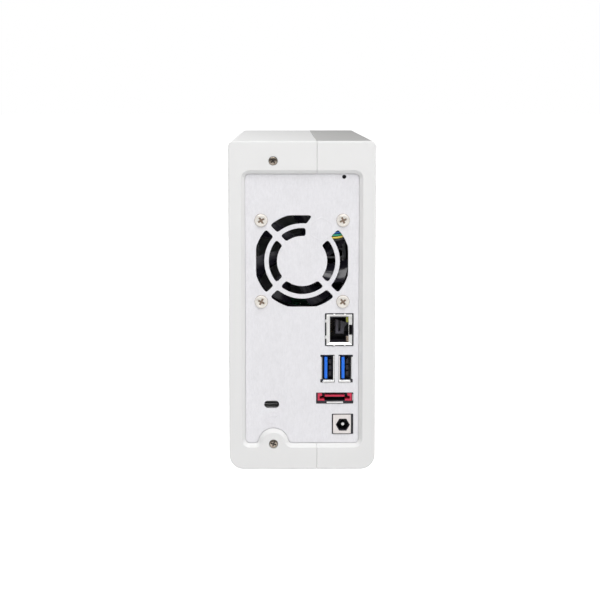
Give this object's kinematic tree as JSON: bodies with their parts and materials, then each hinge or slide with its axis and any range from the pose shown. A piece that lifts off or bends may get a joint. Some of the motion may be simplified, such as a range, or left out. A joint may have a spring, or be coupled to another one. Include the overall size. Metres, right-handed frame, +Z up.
{
  "type": "network attached storage",
  "caption": "upright desktop storage box with a two-tone shell, a sliding cover, a rear fan behind a slotted grille and sockets in a recessed metal plate",
  "frame": {"origin": "centre of the footprint, on the surface that the feet stand on", "axes": "+Z up, +Y towards the side with the sockets, -Y towards the front, +X towards the cover's large side"},
  "size_m": [0.072, 0.2246, 0.1655],
  "materials": {
    "light_plastic": "fine satin grain",
    "grey_plastic": "satin",
    "clear_plastic": "clear, polished",
    "board_green": "solder mask",
    "led_resin": "clear tinted resin",
    "black_plastic": "fine grain",
    "fan_plastic": "satin",
    "flat_cable": "smooth film",
    "galvanised_steel": "galvanised, fine vertical grain",
    "zinc_screw": "bright zinc",
    "nickel_screw": "nickel plated",
    "copper_winding": "enamelled wire",
    "bearing_bronze": "sintered",
    "bright_steel": "polished",
    "wire_black": "smooth",
    "wire_yellow": "smooth",
    "wire_green": "smooth",
    "wire_blue": "smooth",
    "white_plastic": "smooth",
    "heatsink_aluminium": "anodised",
    "chip_epoxy": "matt epoxy",
    "capacitor_sleeve": "shrink sleeve",
    "ferrite": "sintered",
    "battery_steel": "satin",
    "tin_plate": "bright tin",
    "gold_plate": "gold plated",
    "blue_plastic": "smooth",
    "red_plastic": "smooth",
    "cream_plastic": "smooth",
    "post_brass": "turned",
    "rubber": "matt",
    "cast_aluminium": "as cast, painted",
    "lid_steel": "satin",
    "button_plastic": "satin"
  },
  "bodies": {
    "chassis": {"base_shell": "light_plastic", "side_panel": "grey_plastic", "front_bezel": "light_plastic", "front_strip": "grey_plastic", "light_pipes": "clear_plastic", "front_board": "board_green", "indicator_leds": "led_resin", "power_switch": "black_plastic", "front_cable": "flat_cable", "rear_plate": "galvanised_steel", "plate_screws": "zinc_screw", "fan_frame": "fan_plastic", "fan_stator": "copper_winding", "fan_bearing": "bearing_bronze", "fan_screws": "nickel_screw", "fan_wire_black": "wire_black", "fan_wire_yellow": "wire_yellow", "fan_wire_green": "wire_green", "fan_wire_blue": "wire_blue", "fan_plug": "white_plastic", "fan_header": "white_plastic", "mainboard": "board_green", "board_screws": "zinc_screw", "heatsink": "heatsink_aluminium", "board_chips": "chip_epoxy", "capacitors": "capacitor_sleeve", "inductors": "ferrite", "clock_battery": "battery_steel", "rj45_shield": "tin_plate", "rj45_insert": "black_plastic", "rj45_contacts": "gold_plate", "rj45_leds": "led_resin", "usb_shield": "tin_plate", "usb_insulator": "blue_plastic", "esata_shield": "tin_plate", "esata_insert": "red_plastic", "dc_jack_body": "cream_plastic", "dc_jack_pin": "bright_steel", "reset_switch": "black_plastic", "riser_slot": "black_plastic", "drive_board": "board_green", "sata_socket": "black_plastic", "drive_bracket": "galvanised_steel", "bracket_posts": "post_brass", "bracket_screws": "zinc_screw", "drive_grommets": "rubber", "drive_screws": "zinc_screw", "drive_casting": "cast_aluminium", "drive_lid": "lid_steel", "drive_lid_screws": "zinc_screw", "drive_circuit_board": "board_green", "drive_plug": "black_plastic", "base_feet": "rubber"},
    "slide_cover": {"cover": "light_plastic", "cover_screws": "zinc_screw", "cover_feet": "rubber"},
    "fan_wheel": {"fan_rotor": "fan_plastic", "fan_shaft": "bright_steel"},
    "power_key": {"power_button": "button_plastic"},
    "reset_key": {"reset_plunger": "black_plastic"}
  },
  "joints": [
    {"name": "cover_slide", "type": "slide", "parent": "chassis", "child": "slide_cover", "axis": [0, 1, 0], "range_m": [0, 0.03]},
    {"name": "fan_spin", "type": "hinge", "parent": "chassis", "child": "fan_wheel", "pos_m": [0, 0.1, 0.10675], "axis": [0, 1, 0], "continuous": true},
    {"name": "power_press", "type": "slide", "parent": "chassis", "child": "power_key", "axis": [0, 1, 0], "range_m": [0, 0.0008], "stiffness_N_per_m": 500},
    {"name": "reset_press", "type": "slide", "parent": "chassis", "child": "reset_key", "axis": [0, -1, 0], "range_m": [0, 0.0005], "stiffness_N_per_m": 400}
  ]
}
